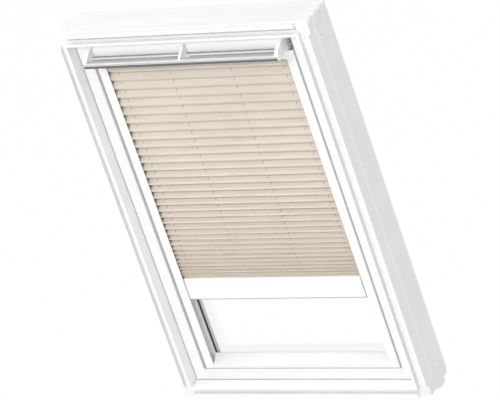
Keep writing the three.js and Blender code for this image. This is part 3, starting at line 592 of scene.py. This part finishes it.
# Flap: a swept panel with a clipped lip in front of its foot
flap_low, flap_high = corners("flap_cover")
flap_corner = (flap_low.depth, flap_low.height)
flap_ends = (flap_low.x, flap_high.x)
flap_outline = outline(flap_corner, [
    (16.5, 35, 3), (12.5, 29, 6), (9.9, 19.1, 9), (9.1, 9.1, 9), (9.1, 3.9, 0.5), (11.1, 3.7, 0.5),
    (11.1, 1.3, 0.3), (1.9, 1.3, 0.3), (1.9, 3.7, 0.7), (0, 3.7, 0.7), (0, -0.3, 0.8), (20.6, -0.3, 0.5),
    (20.6, 2.2, 0.5), (13.6, 2.2, 0.3), (13.6, 8, 4), (14.5, 19.1, 6), (16.9, 28, 3), (19.9, 32.5, 2),
    (36.5, 32.5, 0.5), (36.5, 35, 0.5),
])
bar("flap_shell", flap_outline, flap_ends, "flap", "white_plastic", plastic, "flap_cover", angle=40)

# A grey strip behind the lip, and a skirt of the same rubber below it on each side of the middle arm: both
# are painted shade at the flap's foot
SKIRT_START = 7.2
SKIRT_END = 288.9
lip_shade_outline = outline(flap_corner, [(2.1, 1.3), (2.1, 2.7), (3.5, 3.2), (10.7, 3.2), (10.9, 1.3)],
                       radius=0.4, steps=3)
bar("flap_shade_strip", lip_shade_outline, flap_ends, "flap", "black_rubber", shade_strip_rubber)
skirt_outline = outline(flap_corner, [
    (2.9, -0.3, 0), (2.3, -5, 3), (3.1, -10.5, 1), (5.5, -10.5, 1), (5.9, -0.3, 0)], steps=4)
for side, ends in (("left", (-SKIRT_END, -SKIRT_START)), ("right", (SKIRT_START, SKIRT_END))):
    bar("flap_skirt_" + side, skirt_outline, ends, "flap", "black_rubber", shade_strip_rubber)

# Bar: a drawn section with a dark strip let into its lower front, as painted shade on the bar's underside
bar_low, bar_high = corners("control_bar")
bar_corner = (bar_low.depth, bar_low.height)
bar_ends = (bar_low.x, bar_high.x)
bar_outline = outline(bar_corner, [
    (17, 2, 1), (17, 16.4, 1), (14.5, 18, 1.5), (5.8, 17.3, 3.5), (1.4, 14.6, 4), (0, 10.8, 1),
    (0.2, 10.1, 0.2), (1.1, 9.9, 0.2), (2.6, 5, 6), (5, 1.9, 3), (9.4, 0.1, 4), (15, 0.4, 1.5),
], steps=6)
bar("grip_bar", bar_outline, bar_ends, "flap", "bare_aluminium", bar_metal, "control_bar", angle=30)
shade_strip_outline = outline(bar_corner, [
    (1.4, 9.9, 0), (0.5, 9.5, 0.5), (1.6, 4.9, 5), (4.2, 1.4, 0.5), (5.6, 1.6, 0), (3, 5.4, 0)])
bar("bar_shade_strip", shade_strip_outline, bar_ends, "flap", "bare_aluminium", painted_shade_metal, angle=30)

# Arms: facets that look along x are grey as painted shade, white round the edge
FLAT_SIDE = 0.9
for arm_place in ("left", "middle", "right"):
    arm_node = "bar_arm_" + arm_place
    arm_mesh = nodes[arm_node].data.copy()
    arm = piece("flap_arm_" + arm_place, arm_mesh, "flap", "white_plastic", plastic, arm_node)
    paint(arm.data, plastic, arm_shade)
    smooth(arm.data)
    for polygon in arm.data.polygons:
        polygon.material_index = int(abs(polygon.normal.x) > FLAT_SIDE)
    soften(arm, width=0.5, segments=3)

# A thin grey strip runs below the sill bead and the rails' feet: painted shade along that joint
JOINT_INSET = 0.2
rail_low, rail_high = corners("side_rail_right")
bead_low = corners("sill_bead")[0]
joint_half = rail_high.x - JOINT_INSET
joint_outline = outline((bead_low.depth, bead_low.height),
                        [(-0.45, -0.1), (-0.45, 1.7), (1.5, 1.7), (1.5, -0.1)], radius=0.2, steps=2)
bar("sill_joint_shade", joint_outline, (-joint_half, joint_half), "sash", "black_rubber", shade_strip_rubber)

# A grey strip under the blind's bottom rail: painted shade below the rail
RAIL_SHADE_INSET = 0.6
bottom_rail_low, bottom_rail_high = corners("bottom_rail")
rail_shade_half = bottom_rail_high.x - RAIL_SHADE_INSET
rail_shade_outline = outline((bottom_rail_low.depth, bottom_rail_low.height),
                        [(0.8, 0.4), (1.1, -3.6), (5.6, -3.6), (6, 0.4)], radius=0.4, steps=3)
bar("rail_shade_strip", rail_shade_outline, (-rail_shade_half, rail_shade_half), "blind", "black_rubber", shade_strip_rubber)

# Side rails: channels that stand open towards the cloth, whose edges run inside them
for side, sign in (("left", -1), ("right", 1)):
    channel = outline((rail_low.x, rail_low.depth), [
        (27.8, 23.9, 0.3), (27.8, 21.2, 0.5), (26.5, 21.2, 0.3), (26.5, 2.1, 0.8), (25.8, 0.7, 0.8),
        (24.4, 0, 0.8), (0, 0, 0.8), (0, 2.6, 0.4), (1.2, 2.6, 0.4), (1.6, 1.6, 0.4), (22.8, 1.6, 1),
        (24.9, 3.7, 1.5), (24.9, 22.3, 0.5), (15.8, 22.3, 0.3), (15.8, 23.9, 0.3),
    ], steps=4, sign=sign)
    bar("rail_channel_" + side, channel, (rail_low.height, rail_high.height), "sash", "white_rail", powder,
        "side_rail_" + side, axis="z", angle=40)


# Pleated cloth: its panels keep their length, and the pitch of the creases narrows downwards
cloth_low, cloth_high = corners("pleated_cloth")
CLOTH_TOP = cloth_high.height
CLOTH_END = cloth_low.height
FRONT = cloth_low.depth
HALF_WIDTH = 292.0
CLOTH_THICKNESS = 0.45
PANEL = 19.4
FIRST_DROP = 12.0
LAST_DROP = 1.2
LAST_SHARE = 1 / 3
PLEATS = 33
FIRST_PITCH = 27.7
PITCH_LOSS = 0.694
PITCH_POWER = 1.6

# Points across the cloth and down each panel
COLUMNS = 60
STEPS = 6

# Cord slots, painted with darker cloth as the shade in a cord hole and not cut: their places across the
# cloth, half their width, the room beside them, and the steps of an outward panel that they take up
SLOTS = (-256, -94, 94, 256)
SLOT_HALF = 1.3
SLOT_MARGIN = 1.5
SLOT_STEPS = (0, 1, 2)

# How far the creases wander up and out, how far a panel bulges, and what keeps these three apart
LIFT = 0.55
PUSH = 0.5
PUSH_SEED = 40
BULGE = 0.35
BULGE_SEED = 7

# The waves that make up the wander: their turn in radians for each mm across, seed and mm of height
WAVES = ((0.0117, 1.7, 0.0031), (0.0291, -0.9, 0), (0.0071, 2.3, 0.0173))

# Places of the crease shade and the slot shade cloth among the piece's materials: both are painted shade
CREASE_SHADE = 1
SLOT_SHADE = 2


def fold_line():
    """Depth and height of each crease, from the head rail down to the bottom rail."""
    points = [(FRONT + FIRST_DROP, CLOTH_TOP)]
    crease = CLOTH_TOP - FIRST_DROP
    for pleat in range(PLEATS):
        pitch = FIRST_PITCH * (1 - PITCH_LOSS * (pleat / (PLEATS - 1)) ** PITCH_POWER)
        points.append((FRONT, crease))
        points.append((FRONT + math.sqrt(PANEL ** 2 - (pitch / 2) ** 2), crease - pitch / 2))
        crease -= pitch
    points = [point for point in points if point[1] > CLOTH_END + LAST_DROP]
    points.append((FRONT + PANEL * LAST_SHARE, CLOTH_END))
    return points


def cloth_columns():
    """The x of each column of points, with a narrow strip for each slot."""
    columns = [-HALF_WIDTH + 2 * HALF_WIDTH * column / COLUMNS for column in range(COLUMNS + 1)]
    for middle in SLOTS:
        columns = [x for x in columns if abs(x - middle) > SLOT_HALF + SLOT_MARGIN]
        columns += [middle - SLOT_HALF, middle + SLOT_HALF]
    return sorted(columns)


def cloth_rows(line):
    """Panel, step, depth and height of each row of points."""
    rows = []
    for panel, (here, after) in enumerate(zip(line, line[1:])):
        for step in range(STEPS):
            share = step / STEPS
            rows.append((panel, step, here[0] + (after[0] - here[0]) * share,
                         here[1] + (after[1] - here[1]) * share))
    rows.append((len(line) - 1, 0, *line[-1]))
    return rows


def drift(seed, x, height):
    """A slow, even wander without a repeat that the eye finds, between -1 and 1."""
    waves = [math.sin(x * across + seed * shift + height * down) for across, shift, down in WAVES]
    return sum(waves) / len(waves)


def make_cloth(line):
    """The folded sheet as a mesh."""
    columns = cloth_columns()
    built = bmesh.new()
    grid = []
    for panel, step, depth, height in cloth_rows(line):
        crease = round(panel + step / STEPS)
        free = 1 <= panel + step / STEPS <= len(line) - 2
        row = []
        for x in columns:
            lift = LIFT * drift(crease, x, height) if free else 0
            push = PUSH * drift(crease + PUSH_SEED, x, height) if free else 0
            bulge = BULGE * math.sin(math.pi * (step / STEPS)) * drift(crease + BULGE_SEED, x, height)
            row.append(built.verts.new(place(x, depth + push + bulge, height + lift)))
        grid.append(row)
    for index, (low, high) in enumerate(zip(grid, grid[1:])):
        panel, step = divmod(index, STEPS)
        outward = panel % 2 == 0
        # Faces of a cord slot get the darker cloth: painted shade where a hole would be
        slot_shaded = outward and 2 <= panel < len(line) - 2 and step in SLOT_STEPS
        # Faces next to a crease get the darker cloth: painted shade in the fold
        crease_shaded = step == 0 if outward else step == STEPS - 1
        for column in range(len(columns) - 1):
            middle = (columns[column] + columns[column + 1]) / 2
            face = built.faces.new((low[column], low[column + 1], high[column + 1], high[column]))
            if slot_shaded and round(middle, 3) in SLOTS:
                face.material_index = SLOT_SHADE
            elif crease_shaded:
                face.material_index = CREASE_SHADE
    bmesh.ops.recalc_face_normals(built, faces=built.faces)
    return mesh_of(built, "blind_cloth")


cloth_line = fold_line()
cloth_mesh = make_cloth(cloth_line)
smooth(cloth_mesh, 40)
blind_cloth = piece("blind_cloth", cloth_mesh, None, "beige_cloth", cloth, "pleated_cloth")
cloth_mesh.materials.append(crease_shade_cloth)
cloth_mesh.materials.append(slot_shade_cloth)
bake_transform(blind_cloth)

thick = blind_cloth.modifiers.new("cloth_thickness", "SOLIDIFY")
thick.thickness = CLOTH_THICKNESS * MM
thick.offset = 0


# Stage: a pale floor far below, because the window is held by the roof. Its sizes are in metres
FLOOR_HALF = 40.0
FLOOR_HEIGHT = -2.0
FLOOR_WHITE_SHARE = 0.98


def background_share(tree):
    """1 for rays that look at the background, straight or by mirror or glass, and 0 for the rest."""
    rays = tree.nodes.new("ShaderNodeLightPath")
    share = rays.outputs["Is Camera Ray"]
    for kind in ("Is Glossy Ray", "Is Transmission Ray"):
        larger = tree.nodes.new("ShaderNodeMath")
        larger.operation = "MAXIMUM"
        tree.links.new(share, larger.inputs[0])
        tree.links.new(rays.outputs[kind], larger.inputs[1])
        share = larger.outputs["Value"]
    return share


def mix_shaders(tree, share, first, second, output):
    """Leads two shaders to an output: the second by its share, and the first by the rest."""
    mixed = tree.nodes.new("ShaderNodeMixShader")
    tree.links.new(share, mixed.inputs["Fac"])
    tree.links.new(first, mixed.inputs[1])
    tree.links.new(second, mixed.inputs[2])
    tree.links.new(mixed.outputs["Shader"], tree.nodes[output].inputs["Surface"])


def pale_floor():
    """A matt floor that keeps the shadow, and looks almost white as a background."""
    surface = Surface("pale_floor")
    surface.set(Base_Color=(0.88, 0.88, 0.88, 1), Roughness=0.9)
    white = surface.node("Emission")
    white.inputs["Color"].default_value = (1, 1, 1, 1)
    white.inputs["Strength"].default_value = 1.0
    share = surface.total((background_share(surface.tree), FLOOR_WHITE_SHARE))
    mix_shaders(surface.tree, share, surface.shader.outputs["BSDF"], white.outputs["Emission"],
                "Material Output")
    return surface.material


floor_mesh = bpy.data.meshes.new("floor")
floor_corners = [(x * FLOOR_HALF, y * FLOOR_HALF, FLOOR_HEIGHT)
                 for x, y in ((-1, -1), (1, -1), (1, 1), (-1, 1))]
floor_mesh.from_pydata(floor_corners, [], [(0, 1, 2, 3)])
floor_mesh.materials.append(pale_floor())
floor = bpy.data.objects.new("floor", floor_mesh)
bpy.context.scene.collection.objects.link(floor)

# World: an even dome that lights the window, and plain white where it is seen
world = bpy.data.worlds.new("studio")
bpy.context.scene.world = world
world.use_nodes = True
dome = world.node_tree.nodes["Background"]
dome.inputs["Color"].default_value = (1, 0.998, 0.992, 1)
dome.inputs["Strength"].default_value = 0.5
backdrop = world.node_tree.nodes.new("ShaderNodeBackground")
backdrop.inputs["Color"].default_value = (1, 1, 1, 1)
backdrop.inputs["Strength"].default_value = 1.0
mix_shaders(world.node_tree, background_share(world.node_tree), dome.outputs["Background"],
            backdrop.outputs["Background"], "World Output")

# Lamps: places and sizes in metres, powers in watts
AIM = Vector((0, 0, 0.6))


def lamp(name, at, size, power):
    """A square soft lamp that looks at the window's middle."""
    data = bpy.data.lights.new(name, "AREA")
    data.shape = "SQUARE"
    data.size = size
    data.energy = power
    light = bpy.data.objects.new(name, data)
    light.location = at
    light.rotation_mode = "QUATERNION"
    light.rotation_quaternion = (AIM - Vector(at)).to_track_quat("-Z", "Y")
    bpy.context.scene.collection.objects.link(light)


lamp("front", at=(0, -11, 9.2), size=3.6, power=470)
lamp("front_right", at=(6.0, -10.4, 7.6), size=4.0, power=196)
lamp("front_low", at=(0, -13, 1.0), size=4.8, power=258)
lamp("right", at=(7.8, -2.1, 12.0), size=4.8, power=335)
lamp("left", at=(-7.8, -2.1, 12.0), size=4.8, power=415)
